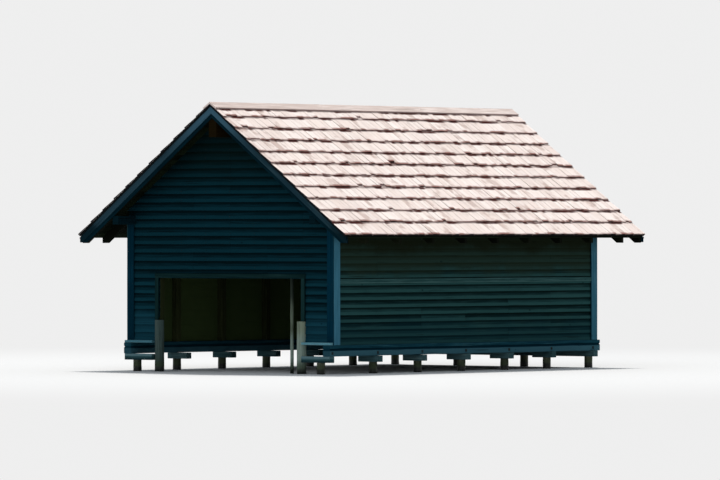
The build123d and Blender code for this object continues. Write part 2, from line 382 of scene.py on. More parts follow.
def squared(breadth, depth, edge=0.006):
    """Outline of a squared timber, breadth along x and depth along y, with its corners worn off."""
    x, y = breadth / 2, depth / 2
    return np.array([(x, edge - y), (x, y - edge), (x - edge, y), (edge - x, y),
                     (-x, y - edge), (-x, edge - y), (edge - x, -y), (x - edge, -y)])


def sided(outline, side):
    """Outline of a piece on the right of the ridge line, or its mirror image for the left."""
    return outline if side > 0 else (outline * (-1, 1))[..., ::-1, :]


def lengthwise(node, axis):
    """Both ends of the middle line of a solid along an axis."""
    low, high, middle = spans(node)[:3]
    ends = np.array([middle, middle])
    ends[:, axis] = low[axis], high[axis]
    return ends


def wood_finish(name, pale, dark, worn, wear=0.5, cards=(), lines=(), bare=None, even=0.7, gloss=0.02):
    """Stained or bare sawn wood: streaks along the grain, a tone for each board, cracks, knots and wear.

    cards are (colour, height where it starts, height where it is full, strength) of bands of colour by
    height, painted shade among them. lines are (axis, colour, start, full, strength) of marks along a board's
    edges, painted shade and painted highlights among them, from -1 to 1 over its breadth on axis 0 or its
    depth on axis 1. bare is the colour of faces that were never stained, and even is the share of the streaks
    in the tone against that of the whole board.
    """
    f = Finish(name)
    tone, other, end, stained = f.board()
    streak = f.grain(1.6, 30, 5)
    fibre = f.grain(10, 300)
    cloud = f.noise(f.place((1.3, 1.3, 1.3)), 4)
    crack = f.step(f.grain(0.9, 55, 2, 0.4), 0.34, 0.29)
    cells = f.node("TexVoronoi", {"Vector": f.uv("grain", (4, 7, 1)), "Scale": 1.0})
    knot = f.step(cells["Distance"], 0.15, 0.08) * f.step(f.parts(cells["Color"])[0], 0.80, 0.82)
    face = f.parts(f.uv("face"))
    f.colour = f.blend(f.step(streak * even + tone * (1 - even), 0.28, 0.72), dark, pale)
    fade = f.step(streak * 0.5 + cloud * 0.5 + (other - 0.5) * 0.10, 0.52, 0.66)
    rub = f.step(face[0].size().least(face[1].size()) + (streak - 0.5) * 0.25, 0.86, 1.0)
    f.cover((rub * 0.6 + fade * 0.6) * wear, worn)
    for axis, card, low, high, strength in lines:
        mark = f.step(face[axis] + (streak - 0.5) * 0.12 + (cloud - 0.5) * 0.10, low, high)
        f.cover(mark * strength, card)
    for card, low, high, strength in cards:
        height = f.parts(f.place())[2] + (cloud - 0.5) * 0.5
        f.cover(f.step(height, low, high) * strength, card)
    f.cover(knot * 0.6, dark)
    f.cover(crack * 0.5, (8, 10, 9))
    f.cover(end * 0.5, dark)
    if bare:
        f.colour = f.blend(stained, bare, f.colour)
    return f.surface(0.78 + streak * 0.2, streak * 0.6 + fibre * 0.25 - crack, 0.003, gloss)


# Painted shade in the seam and along the top edge under the lowest wall board; paler below the seam.
sill_paint = wood_finish("sill_stain", (26, 74, 88), (12, 48, 60), (64, 102, 110), 0.4,
                         lines=((1, (0, 32, 44), 0.46, 0.36, 0.9), (1, (54, 92, 104), 0.04, -0.10, 0.9),
                                (1, (6, 28, 34), 0.86, 0.99, 0.5)))
cap_paint = wood_finish("cap_stain", (76, 104, 108), (40, 66, 70), (112, 130, 128))
short_cap_paint = wood_finish("short_cap_stain", (62, 95, 99), (36, 68, 73), (78, 106, 110),
                              lines=((1, (96, 126, 132), 0.10, 0.45, 0.9),
                                     (1, (24, 46, 50), -0.05, -0.40, 0.8)))
plank_paint = wood_finish("plank_stain", (136, 178, 188), (90, 142, 156), (148, 174, 178))
# The left plank's stain is a darker copy of the right one's, painted shade.
shaded_plank_paint = wood_finish("plank_stain_painted_shade", (102, 146, 156), (66, 112, 126), (112, 142, 148))
beam_steps = np.linspace(0, 1, 9)
cap_high, cap_mid, cap_size = spans("back_cap")[1:]
cap_length = 0.475
cap_outline = squared(cap_size[1], cap_size[2], edge=0.008)
fixed(carried("caps_side", cap_outline, both(cap_high[0] - cap_length, pile_rows[1:-1], cap_mid[2]),
              both(cap_high[0], pile_rows[1:-1], cap_mid[2]), seed=51), cap_paint, "pile_caps")
fixed(carried("cap_across_back", cap_outline, *lengthwise("back_cap", 0), stations=beam_steps, seed=52),
      cap_paint, "back_cap")
low, high, middle = spans("front_caps")[:3]
short_edge = opening_edge + jamb_radius
fixed(carried("caps_front", cap_outline, [(low[0], *middle[1:]), (short_edge, *middle[1:])],
              [(-short_edge, *middle[1:]), (high[0], *middle[1:])], seed=53), short_cap_paint, "front_caps")
groove_depth, groove_low, groove_high, groove_splay = 0.016, 0.012, 0.044, 0.004
sill_edge = 0.010
for name, side, seed in (("sill_left", -1, 54), ("sill_right", 1, 56)):
    high, middle, size = spans(name)[1:]
    face, back = size[0] / 2, size[0] / 2 - groove_depth
    groove = [(face, groove_low), (back, groove_low + groove_splay), (back, groove_high - groove_splay),
              (face, groove_high)]
    grooved = np.insert(squared(size[0], size[2], sill_edge), 1, groove, axis=0)
    fixed(carried("beam_" + name, sided(grooved, side), *lengthwise(name, 1), stations=beam_steps,
                  waver=0.0015, seed=seed), sill_paint, name)
sill_top = high[2]
size = spans("sill_back")[3]
fixed(carried("beam_sill_back", squared(size[1], size[2], sill_edge), *lengthwise("sill_back", 0),
              stations=beam_steps, waver=0.001, seed=58), sill_paint, "sill_back")
low, high, middle, size = spans("foot_planks")
plank_top = high[2]
for name, from_x, to_x, finish in (("left", low[0], -short_edge, shaded_plank_paint),
                                   ("right", short_edge, high[0], plank_paint)):
    fixed(carried("plank_foot_" + name, squared(size[1], size[2], edge=0.005), (from_x, *middle[1:]),
                  (to_x, *middle[1:]), seed=59), finish, "foot_planks")


# The wall frame is rough sawn brown timber, never stained, painted dark as the shade inside the house: posts
# on the sills and a header over the opening.
# The plates along the tops of the walls run out under the verges and are stained like the walls.
# Painted shade: the frame's brown is darkened for the shade inside the house.
shaded_frame_wood = wood_finish("sawn_brown_painted_shade", (62, 68, 42), (40, 46, 27), (72, 78, 54), 0.3, even=0.55)
plate_wood = wood_finish("plate_stain", (6, 32, 40), (2, 20, 26), (18, 46, 54), 0.3)
low, high, middle, size = spans("posts_right")
post_outline = squared(size[0], size[0], edge=0.005)
half_post = size[0] / 2
post_y, post_top = high[1] - half_post, high[2]
post_rows = [-post_y, *pile_rows[1:-1], post_y]
for name, side in (("posts_left", -1), ("posts_right", 1)):
    fixed(carried("frame_" + name, post_outline, row(side * middle[0], post_rows, sill_top),
                  row(side * middle[0], post_rows, post_top), (1, 0, 0), seed=61 + side), shaded_frame_wood, name)
opening_top = spans("head_board")[0][2]
jamb_post_x, back_post_x = opening_edge + half_post, 1.2
feet = both(jamb_post_x, -post_y, post_high[2]) + both(back_post_x, post_y, sill_top)
heads = both(jamb_post_x, -post_y, opening_top) + both(back_post_x, post_y, post_top)
fixed(carried("frame_gable_posts", post_outline, feet, heads, (1, 0, 0), seed=64), shaded_frame_wood, "gable_posts")
size = spans("header_beam")[3]
fixed(carried("frame_header", squared(size[1], size[2]), *lengthwise("header_beam", 0), stations=beam_steps,
              waver=0.001, seed=66), shaded_frame_wood, "header_beam")
low, high, middle, size = spans("wall_plates")
plate_breadth = 0.14
plate_x = high[0] - plate_breadth / 2
fixed(carried("frame_plates", squared(plate_breadth, size[2]), both(plate_x, low[1], middle[2]),
              both(plate_x, high[1], middle[2]), stations=beam_steps, waver=0.001, seed=67), plate_wood,
      "wall_plates")


# Tie beams, king posts and braces stand in four rows under the ridge purlin, whose end shows below the verge.
# They are sawn brown timbers like the wall frame, notched and spiked together.
eave_x, verge_y = spans("shingles_right")[1][:2]
ridge_z = spans("ridge_board_right")[1][2]
eave_z = 2.585
pitch = math.atan2(ridge_z - eave_z, eave_x)
down_slope = np.array([math.cos(pitch), 0, -math.sin(pitch)])
off_slope = np.array([math.sin(pitch), 0, math.cos(pitch)])
truss_rows = (-post_y, pile_rows[2], pile_rows[4], post_y)
low, high, middle, size = spans("tie_beams")
fixed(carried("frame_ties", squared(2 * half_post, size[2]), row(low[0], truss_rows, middle[2]),
              row(high[0], truss_rows, middle[2]), stations=beam_steps, waver=0.001, seed=71), shaded_frame_wood,
      "tie_beams")
low, high = spans("king_posts")[:2]
fixed(carried("frame_kings", post_outline, row(0, truss_rows, low[2]), row(0, truss_rows, high[2]), (1, 0, 0),
              seed=72), shaded_frame_wood, "king_posts")
low, high = spans("braces")[:2]
brace_width = 0.13
brace_run = high[0] - brace_width - half_post
brace_drop = high[2] - brace_width - low[2]
brace_lean = math.atan2(brace_drop, brace_run)
brace_sides = np.repeat((-1, 1), len(truss_rows))
fixed(carried("frame_braces", squared(brace_width * math.cos(brace_lean), 2 * half_post),
              both(half_post, truss_rows, high[2] - brace_width / 2),
              both(high[0] - brace_width / 2, truss_rows, low[2]), (0, 1, 0),
              cuts=(-brace_sides * math.tan(brace_lean), brace_sides / math.tan(brace_lean)), seed=73),
      shaded_frame_wood, "braces")
low, high, middle, size = spans("ridge_purlin")
half_purlin = size[0] / 2
shoulder = high[2] - half_purlin * math.tan(pitch)
purlin_outline = np.array([(half_purlin, low[2]), (half_purlin, shoulder), (0, high[2]),
                           (-half_purlin, shoulder), (-half_purlin, low[2])]) - (0, middle[2])
purlin_wood = wood_finish("purlin_brown", (30, 21, 6), (16, 11, 3), (42, 32, 17), 0.3)
fixed(carried("frame_purlin", purlin_outline, *lengthwise("ridge_purlin", 1), stations=beam_steps, seed=74),
      purlin_wood, "ridge_purlin")


# Rafters are sawn timbers on edge, notched over the plates. Their tails run out under the eave, cut level
# below and plumb at the end, and the outermost pairs carry the bargeboards in front of the gables.
def on_slope(distance, lift, y, side):
    """Point at a distance down the slope from the ridge and lifted off the roof's outer plane."""
    x, _, z = distance * down_slope + lift * off_slope
    return (side * x, y, ridge_z + z)


def sloping(name, top, depth, foot_x, foot_z, rows, breadths, material, seed, node=None):
    """Timbers down both slopes, plumb at the ridge and at foot_x and cut level at foot_z.

    The outline is lift by thickness. It is drawn in at the last station to the lift at which the plumb cut
    meets the level one, and the station before it stands where the level cut begins.
    """
    lift = -top - depth / 2
    head = -lift * math.tan(pitch)
    length = (foot_x - lift * off_slope[0]) / down_slope[0] - head
    corner = foot_x * off_slope[0] - (ridge_z - foot_z) * off_slope[2]
    drawn = max(0.0, corner + top + depth)
    level = drawn / math.sin(pitch) / math.cos(pitch)
    whole = np.stack([squared(depth, breadth, 0.004) for breadth in breadths])
    tail = whole.copy()
    tail[..., 0] = np.where(whole[..., 0] < 0, whole[..., 0] + drawn, whole[..., 0])
    stations = (0, 1 - (level - depth / 2 * math.tan(pitch)) / length, 1)
    for word, side in (("left", -1), ("right", 1)):
        lean = -side * math.tan(pitch)
        piece = carried(name + word, sided(np.stack([whole, whole, tail], 1), side),
                        [on_slope(head, lift, y, side) for y in rows],
                        [on_slope(head + length, lift, y, side) for y in rows], (0, 1, 0), stations,
                        (lean, lean), seed=seed + side)
        fixed(piece, material, node and node + word)


# Rafters painted near black, as the shade under the roof.
rafter_shade_wood = wood_finish("rafter_brown_painted_shade", (22, 26, 16), (10, 13, 8), (34, 38, 26), 0.3, even=0.5)
cover = 0.062
deck = 0.025
under_deck = cover + deck
rafter_depth = 0.15
low, high = spans("rafters_right")[:2]
rafter_breadth, fly_breadth = 0.07, 0.06
fly_row = high[1] - fly_breadth / 2
rafter_rows = [-fly_row, *np.linspace(-row_end, row_end, 9), fly_row]
rafter_breadths = [fly_breadth] + 9 * [rafter_breadth] + [fly_breadth]
sloping("frame_rafters_", under_deck, rafter_depth, high[0], low[2], rafter_rows, rafter_breadths,
        rafter_shade_wood, 81, "rafters_")


# Roof boards lie across the rafters, rough brown wood painted near black for the shade where they show below
# the eaves and verges. They are of random widths, nailed down with small gaps, in lengths that meet over the
# rafters.
# Roof boards painted near black, as the shade under the roof.
deck_shade_wood = wood_finish("roof_board_painted_shade", (20, 28, 17), (9, 14, 8), (30, 38, 26), 0.3, even=0.5)
low, high = spans("roof_boarding_right")[:2]
deck_end = (high[0] + (cover + deck / 2) * off_slope[0]) / down_slope[0]
deck_head, last_width, half_gap = 0.02, 0.1, 0.002
deck_widths = (0.13, 0.19)
rng = np.random.default_rng(91)
for name, side in (("roof_boarding_left", -1), ("roof_boarding_right", 1)):
    edges = np.cumsum(rng.uniform(*deck_widths, 40))
    edges = np.concatenate([[deck_head], edges[edges < deck_end - last_width], [deck_end]])
    board_start, board_end, board_shape = [], [], []
    for top, bottom in zip(edges[:-1], edges[1:]):
        joint = rng.choice(rafter_rows[3:-3])
        for y_from, y_to in ((low[1], joint - half_gap), (joint + half_gap, high[1])):
            board_start.append(on_slope((top + bottom) / 2, -cover - deck / 2, y_from, side))
            board_end.append(on_slope((top + bottom) / 2, -cover - deck / 2, y_to, side))
            board_shape.append(squared(bottom - top - 2 * half_gap, deck, 0.002))
    fixed(carried("boards_" + name, np.stack(board_shape)[:, None], board_start, board_end,
                  off_slope * (side, 1, 1), seed=92 + side), deck_shade_wood, name)


# Shingles are split softwood slabs nailed in courses, thick at the butt and thin at the head, bleached silver
# with a warm cast by sun and rain. Painted shadow mixed with dirt darkens each course under the butt above,
# the butts are painted dark as their shade, and here and there one is chipped or lifts.
def shingle_finish(name):
    """Bleached shingle: pale warm grey streaked down the slope, with a ragged painted shadow mixed with dirt
    below each butt and damp above it.

    The butt ends are painted dark as their shade, near black at the eave, and the dark is heavy in some
    places and almost gone in others. Painted shade makes the sides that face the verge dark.
    """
    f = Finish(name)
    tone, other, end, stained = f.board()
    streak = f.grain(3, 60, 5)
    fibre = f.grain(12, 420)
    cloud = f.noise(f.place((0.8, 0.8, 0.8)))
    patch = f.noise(f.place((3.2, 3.2, 3.2)), 4)
    f.colour = f.blend(f.step(streak * 0.75 + tone * 0.25, 0.3, 0.7), (238, 221, 213), (251, 239, 233))
    f.cover(f.step(cloud + (other - 0.5) * 0.2, 0.50, 0.72) * 0.3, (204, 184, 176))
    f.cover(f.step(patch + (other - 0.5) * 0.3, 0.60, 0.72) * 0.5, (186, 158, 147))
    heavy = f.step(patch * 0.9 + (tone - 0.5) * 0.35, 0.32, 0.60)
    below_course, to_butt, _ = f.parts(f.uv("span"))
    ragged = (streak - 0.5) * 0.05 + (0.5 - heavy) * 0.02
    # Painted shadow of the butt above, mixed with dirt.
    shadow_and_dirt = f.step(below_course + ragged, 0.062, 0.032) * (heavy * 0.55 + 0.45)
    damp = f.step(to_butt + ragged, 0.050, 0.022) * (heavy * 0.60 + 0.30)
    f.cover(shadow_and_dirt, (74, 32, 28))
    f.cover(damp, (140, 92, 83))
    across = f.parts(f.uv("face"))[0].size()
    f.cover(f.step(across, 0.93, 1.0) * 0.3, (140, 118, 112))
    crack = f.step(f.grain(1.2, 48, 2, 0.4), 0.33, 0.29)
    f.cover(crack * 0.4, (84, 66, 62))
    _, along_ridge, height = f.parts(f.place())
    # Butt ends painted dark as their shade, near black at the eave.
    butt_shade_colour = f.blend(heavy, (108, 68, 60), (40, 15, 12))
    butt_shade_colour = f.blend(f.step(height, eave_z + 0.12, eave_z + 0.08), butt_shade_colour, (22, 12, 10))
    f.cover(end, butt_shade_colour)
    # Painted shade on the sides that face the verge.
    verge_shade = f.step(along_ridge.size(), verge_y - 0.05, verge_y - 0.03)
    f.cover((1.0 - stained) * verge_shade, (20, 28, 34))
    return f.surface(0.85 + streak * 0.1, streak * 0.6 + fibre * 0.3 - crack, 0.003, 0.15)


shingle_wood = shingle_finish("shingle_grey")
# The layer under the shingles is painted near black, as the shade in the gaps between them and at its ends.
under_layer_shade = wood_finish("shingle_under_layer_painted_shade", (20, 24, 26), (10, 13, 14), (34, 38, 40), 0.3)
slope_length = math.hypot(eave_x, ridge_z - eave_z)
ridge_board, top_course, eave_course = 0.20, 0.235, 0.395
middle_course = (slope_length - ridge_board - top_course - eave_course) / 9
butts = [ridge_board + top_course + middle_course * i for i in range(10)] + [slope_length]
heads = [0.0] + butts[:-1]
lap = 0.10
slab_bed = -0.033
worn_edge = 0.003


def shingle_rows(seed):
    """Starts and ends as (distance, lift, y), outlines and covered lengths of one slope's shingles.

    The slabs are laid course by course from random widths. The thickness goes from thin at the head to the
    full depth at the butt, and some butts lift by a few millimetres. Chipped ones are short, but not at
    the eave.
    """
    rng = np.random.default_rng(seed)
    starts, ends, shapes, leads = [], [], [], []
    for head, butt in zip(heads, butts):
        joints = -verge_y + np.concatenate([[0], np.cumsum(rng.uniform(0.085, 0.19, 110))])
        joints = np.append(joints[joints < verge_y - 0.06], verge_y)
        middle = (joints[1:] + joints[:-1]) / 2
        count = len(middle)
        x = (np.diff(joints) - rng.uniform(0.002, 0.009, count)) / 2
        wear = rng.uniform(0, 1, count)
        short = np.where(wear < 0.12, rng.uniform(0.015, 0.03, count), rng.uniform(0, 0.009, count))
        short = np.where(wear < 0.04, rng.uniform(0.03, 0.08, count), short)
        short = np.minimum(short, 0.012) if butt == slope_length else short
        depth = rng.uniform(0.027, 0.034, count)
        lifted = np.where(rng.uniform(0, 1, count) < 0.12, rng.uniform(0.004, 0.012, count), 0)
        starts.append(np.stack([np.full(count, head - (lap if head else 0)), np.full(count, slab_bed),
                                middle + rng.uniform(-0.003, 0.003, count)], 1))
        ends.append(np.stack([butt - short, slab_bed + 0.001 + lifted, middle], 1))
        outlines = []
        for thick in (0 * depth + 0.005, depth - 0.0005, depth - 0.004):
            corners = ((x, 0 * x), (x, thick - worn_edge), (x - worn_edge, thick), (worn_edge - x, thick),
                       (-x, thick - worn_edge), (-x, 0 * x))
            outlines.append(np.stack([np.stack(corner, 1) for corner in corners], 1))
        shapes.append(np.stack(outlines, 1))
        leads.append(np.full(count, lap if head else ridge_board))
    return [np.concatenate(rows) for rows in (starts, ends, shapes, leads)]


def laid(rows, side):
    """Points of one slope from rows of distance down it, lift off it and place along the ridge."""
    points = rows[:, :1] * down_slope + rows[:, 1:2] * off_slope + rows[:, 2:] * (0, 1, 0)
    return points * (side, 1, 1) + (0, 0, ridge_z)


for name, side in (("left", -1), ("right", 1)):
    start, end, shape, leads = shingle_rows(101 + side)
    up = off_slope * (side, 1, 1)
    fixed(carried("shingle_slabs_" + name, shape, laid(start, side), laid(end, side), up, (0, 0.985, 1),
                  lead=leads, rough=(0, 4), seed=104 + side), shingle_wood, "shingles_" + name)
    layer_depth = cover + slab_bed
    lift = slab_bed - layer_depth / 2
    fixed(carried("shingle_under_" + name, squared(2 * verge_y - 0.012, layer_depth, 0.002),
                  on_slope(-lift * math.tan(pitch), lift, 0, side),
                  on_slope(slope_length - 0.012, lift, 0, side), up, seed=107), under_layer_shade)


# Two boards cap the ridge, plumb cut where they meet, laid over the top course in three lengths and nailed
# through it. They are bleached like the shingles.
# Painted shadow darkens the lower edge of each ridge board.
ridge_wood = wood_finish("ridge_board_grey", (242, 228, 222), (206, 188, 180), (246, 234, 228), 0.6,
                         lines=((0, (116, 92, 90), 0.90, 1.0, 0.7),), gloss=0.1)
butt_step = 0.026
board_foot = -butt_step * (1 - ridge_board / butts[0])
board_face = board_foot + butt_step
ridge_outline = np.array([(butt_step * math.tan(pitch), -butt_step), (ridge_board, board_foot),
                          (ridge_board, board_face - worn_edge), (ridge_board - worn_edge, board_face),
                          (0, 0)])
trim_steps = np.linspace(0, 1, 5)
for name, side in (("ridge_board_left", -1), ("ridge_board_right", 1)):
    joints = np.array([-verge_y, -1.52, 1.47, verge_y]) + 0.12 * (side > 0) * np.array([0, 1, 1, 0])
    fixed(carried("capping_" + name, sided(ridge_outline, side), row(0, joints[:-1] + 0.001, ridge_z),
                  row(0, joints[1:] - 0.001, ridge_z), off_slope * (side, 1, 1), trim_steps, waver=0.0008,
                  seed=111 + side), ridge_wood, name)


# Bargeboards close each verge over the ends of the roof boards, dark stained, and a narrower pale board is
# nailed along the upper edge of each. Their feet are cut plumb and level.
# The pale board is painted darker at its foot, as the shade under the eave, and it is paler towards the apex.
verge_trim = wood_finish("verge_stain", (36, 60, 71), (24, 47, 57), (56, 78, 84), 0.4,
                         cards=(((62, 96, 114), 4.0, 4.9, 0.8), ((3, 24, 31), 2.80, 2.60, 0.85)))
dark_trim = wood_finish("trim_dark_stain", (4, 34, 44), (0, 20, 28), (20, 48, 56), 0.3)
barge_depth, capping_depth, capping_thick = 0.173, 0.110, 0.020
for end in ("front", "back"):
    low, high, middle, size = spans(f"bargeboard_{end}_right")
    face_y = low[1] if end == "front" else high[1]
    capping_y = face_y + math.copysign(capping_thick / 2, face_y)
    sloping(f"barge_{end}_", cover, barge_depth, high[0], low[2], [middle[1]], [size[1]], dark_trim, 121,
            f"bargeboard_{end}_")
    sloping(f"barge_cap_{end}_", cover, capping_depth, high[0], low[2], [capping_y], [capping_thick],
            verge_trim, 125)


# The walls are clad in lapped boards nailed to the posts, dark teal stain over sawn softwood. Each board's
# lower edge stands proud of the one below, with a painted highlight on its lower part and painted shadow
# under the lap above. Painted shade makes the side walls browner and darker under the eaves and the gables
# darker under the apex. There is no stain inside, where the bare wood is painted dark as shade.
def lapped(step, lap, thick, depth):
    """Outline of a lapped board: x runs down the wall and y outwards. Its top leans back behind the next."""
    x = (step + lap) / 2
    outer_top = depth / 2 - (depth - thick) * (step + lap) / step
    return np.array([(x, depth / 2 - thick), (x, depth / 2 - worn_edge), (x - worn_edge, depth / 2),
                     (-x, outer_top), (-x, outer_top - thick * 0.55)])


nail_places, nail_faces = [], []


def nailed(places, outward):
    """Notes nails at some places of a face that looks outward."""
    nail_places.append(np.array(places))
    nail_faces.append(np.broadcast_to(outward, (len(places), 3)))


def clad(name, node, material, corner, along, outward, low, high, pitch_height, reach, joints, studs, seed):
    """Lapped boards over one wall in equal courses, with the places of their nails.

    reach(z) gives the two ends along the wall at a height. Boards meet at some of the joints, and a nail goes
    through each course at each of the studs. The lowest board is let in a little at its foot.
    """
    rng = np.random.default_rng(seed)
    feet = np.linspace(low, high, max(1, round((high - low) / pitch_height)) + 1)
    step = feet[1] - feet[0]
    outline = lapped(step, board_lap, board_thick, skin)
    corner, along, outward = np.array(corner, float), np.array(along, float), np.array(outward, float)
    starts, ends, shapes, cut_start, cut_end, nails = [], [], [], [], [], []
    for foot in feet[:-1]:
        shape = outline.copy()
        shape[:3, 0] += let_in * (foot == low)
        shape[3:, 0] += max(0, foot + step + board_lap - high)
        middle = foot + (step + board_lap) / 2
        left, right = reach(middle)
        below = reach(middle - lean_step)
        lean_left, lean_right = (below[0] - left) / lean_step, (below[1] - right) / lean_step
        choice = [j for j in joints if left + shortest_board < j < right - shortest_board]
        breaks = []
        if choice:
            breaks = sorted(rng.choice(choice, min(len(choice), rng.integers(1, 3)), replace=False))
        stops = [left, *breaks, right]
        centre = corner - outward * skin / 2 + (0, 0, middle)
        for k, (a, b) in enumerate(zip(stops[:-1], stops[1:])):
            first, last = k == 0, k == len(stops) - 2
            starts.append(centre + along * (a + (0 if first else butt_gap)))
            ends.append(centre + along * (b - (0 if last else butt_gap)))
            shapes.append(shape)
            cut_start.append(lean_left if first else 0)
            cut_end.append(lean_right if last else 0)
        for stud in studs:
            if left + nail_margin < stud < right - nail_margin:
                nails.append(corner + along * (stud + rng.uniform(-nail_drift, nail_drift))
                             + (0, 0, foot + rng.uniform(*nail_rise)))
    piece = carried(name, np.stack(shapes)[:, None], starts, ends, outward, trim_steps,
                    (np.array(cut_start), np.array(cut_end)), waver=0.001, rough=(3, 4), seed=seed)
    fixed(piece, material, node)
    nailed(nails, outward)


high, middle, size = spans("side_wall_right")[1:]
half_width, side_reach, side_top = high
skin = size[0]
half_length = -spans("front_wall_gable")[0][1]
# Bare inside faces, painted dark as the shade inside the house.
inside = (64, 80, 46)
# Painted light and shade: a dark band under each lap, a pale highlight on each board's lower part, darker
# gables under the apex and side walls browner and darker under the eaves. The panels beside the opening are
# paler towards their foot and the side walls bluer towards theirs.
front_stain = wood_finish("front_wall_stain", (5, 37, 46), (1, 21, 27), (12, 46, 55), 0.35,
                          cards=(((5, 19, 16), 3.2, 4.2, 0.7),), bare=inside, even=0.85,
                          lines=((0, (0, 13, 17), -0.10, -0.45, 0.8), (0, (9, 46, 56), 0.10, 0.45, 0.8)))
panel_stain = wood_finish("panel_stain", (6, 40, 49), (1, 23, 30), (15, 49, 58), 0.35,
                          cards=(((26, 72, 88), 1.25, 0.90, 0.40),), bare=inside, even=0.85,
                          lines=((0, (0, 16, 22), -0.10, -0.45, 0.8), (0, (12, 52, 63), 0.10, 0.45, 0.8)))
side_stain = wood_finish("side_wall_stain", (26, 57, 58), (4, 25, 27), (42, 68, 66), 0.35,
                         cards=(((30, 42, 31), 1.70, 2.05, 0.75), ((22, 28, 16), 2.18, 2.42, 0.9),
                                ((4, 38, 47), 1.10, 0.75, 0.45)),
                         lines=((0, (2, 17, 17), -0.05, -0.45, 0.8), (0, (39, 75, 75), 0.10, 0.45, 0.8)),
                         bare=inside, even=0.65)
board_pitch, side_pitch, board_lap, board_thick = 0.156, 0.141, 0.022, 0.015
let_in, butt_gap, shortest_board, lean_step = 0.005, 0.0015, 0.5, 0.01
nail_margin, nail_drift, nail_rise = 0.04, 0.012, (0.032, 0.044)
gable_top = ridge_z - under_deck / math.cos(pitch)


def gable_reach(z):
    """Ends of a gable board: the wall's corners, or where the roof boards' underside meets its height."""
    out = min(half_width, max((gable_top - z) / math.tan(pitch), 0.02))
    return -out, out


def level_reach(out):
    """Ends of boards that run as far out at every height."""
    return lambda z: (-out, out)


def panel_reach(side):
    """Ends of the boards beside the opening, which stop short at the tall pile up to its top."""
    return lambda z: sorted((side * half_width, side * (opening_edge + jamb_radius * (z < post_high[2]))))


gable_joints = (-1.76, -0.9, 0.0, 0.9, 1.76)
gable_studs = (-2.42, -1.8, -1.2, -0.6, 0.0, 0.6, 1.2, 1.8, 2.42)
panel_studs = (2.42, 1.88)
front = ((0, -half_length, 0), (1, 0, 0), (0, -1, 0))
back = ((0, half_length, 0), (-1, 0, 0), (0, 1, 0))
gable = (opening_top, gable_top - 0.02, board_pitch, gable_reach, gable_joints, gable_studs)
clad("boards_front_gable", "front_wall_gable", front_stain, *front, *gable, 131)
clad("boards_back_gable", "back_wall_gable", front_stain, *back, *gable, 132)
clad("boards_back", "back_wall", panel_stain, *back, sill_top, opening_top, board_pitch,
     level_reach(half_width), gable_joints, gable_studs, 133)
for name, side, seed in (("left", -1, 134), ("right", 1, 135)):
    clad("boards_front_" + name, "front_wall_" + name, panel_stain, *front, plank_top, opening_top,
         board_pitch, panel_reach(side), (), [side * stud for stud in panel_studs], seed)
for name, side, seed in (("right", 1, 136), ("left", -1, 137)):
    clad("boards_side_" + name, "side_wall_" + name, side_stain, (side * half_width, 0, 0), (0, side, 0),
         (side, 0, 0), sill_top, side_top, side_pitch, level_reach(side_reach), pile_rows[1:-1], post_rows,
         seed)


# Planed boards finish the walls: a pair at each corner, a frame round the boat opening, and a band along each
# side where the upper cladding drips. The corner boards on the sides are pale blue grey, the others darker.
first_nail, nail_spacing = 0.08, 0.33
corner_nails, gable_nails = 0.065, 0.045


def nail_column(x, y, low, high, outward):
    """Notes a column of nails in an upright board."""
    nailed([(x, y, z) for z in np.arange(low + first_nail, high, nail_spacing)], outward)


# Painted shade darkens the tops of the corner boards under the eaves. They are also darker along both edges.
pale_trim = wood_finish("trim_stain", (60, 112, 133), (42, 87, 104), (86, 128, 143), 0.4,
                        cards=(((28, 58, 66), 2.32, 2.62, 0.8),),
                        lines=((0, (0, 36, 50), -0.92, -0.99, 0.95), (0, (0, 36, 50), 0.92, 0.99, 0.95)))
low, high = spans("corner_boards")[:2]
trim = high[0] - half_width
trim_waver = 0.0006
corner_board = 0.19
trim_x = half_width + trim / 2
corner_y = high[1] - corner_board / 2
corner_ys = (-corner_y, corner_y)
fixed(carried("trim_corners", squared(corner_board, trim, worn_edge), both(trim_x, corner_ys, low[2]),
              both(trim_x, corner_ys, high[2]), (1, 0, 0), trim_steps, waver=trim_waver, seed=141), pale_trim,
      "corner_boards")
for x, y, foot in both(high[0], corner_ys, low[2]):
    for shift in (-corner_nails, corner_nails):
        nail_column(x, y + shift, foot, high[2], (np.sign(x), 0, 0))
corner_stain = wood_finish("gable_corner_stain", (3, 46, 64), (0, 32, 45), (14, 56, 72), 0.35)
high = spans("gable_corner_boards")[1]
gable_corner = 0.14
gable_corner_feet = [(sx * (half_width - gable_corner / 2), sy * (high[1] - trim / 2), foot)
                     for sx in (-1, 1) for sy, foot in ((-1, plank_top), (1, sill_top))]
fixed(carried("trim_gable_corners", squared(gable_corner, trim, worn_edge), gable_corner_feet,
              [(x, y, high[2]) for x, y, foot in gable_corner_feet], (0, 1, 0), trim_steps, waver=trim_waver,
              seed=145), corner_stain, "gable_corner_boards")
for x, y, foot in gable_corner_feet:
    for shift in (-gable_nails, gable_nails):
        nail_column(x + shift, math.copysign(high[1], y), foot, high[2], (0, np.sign(y), 0))
# Painted highlight along the band's lower part.
band_stain = wood_finish("band_stain", (48, 80, 80), (26, 56, 56), (66, 96, 96), 0.35,
                         lines=((0, (68, 100, 100), 0.50, 0.85, 0.6),))
low, high, middle, size = spans("wall_bands")
fixed(carried("trim_bands", squared(size[2], trim, worn_edge), both(trim_x, low[1], middle[2]),
              both(trim_x, high[1], middle[2]), (1, 0, 0), beam_steps, waver=trim_waver, seed=142),
      band_stain, "wall_bands")
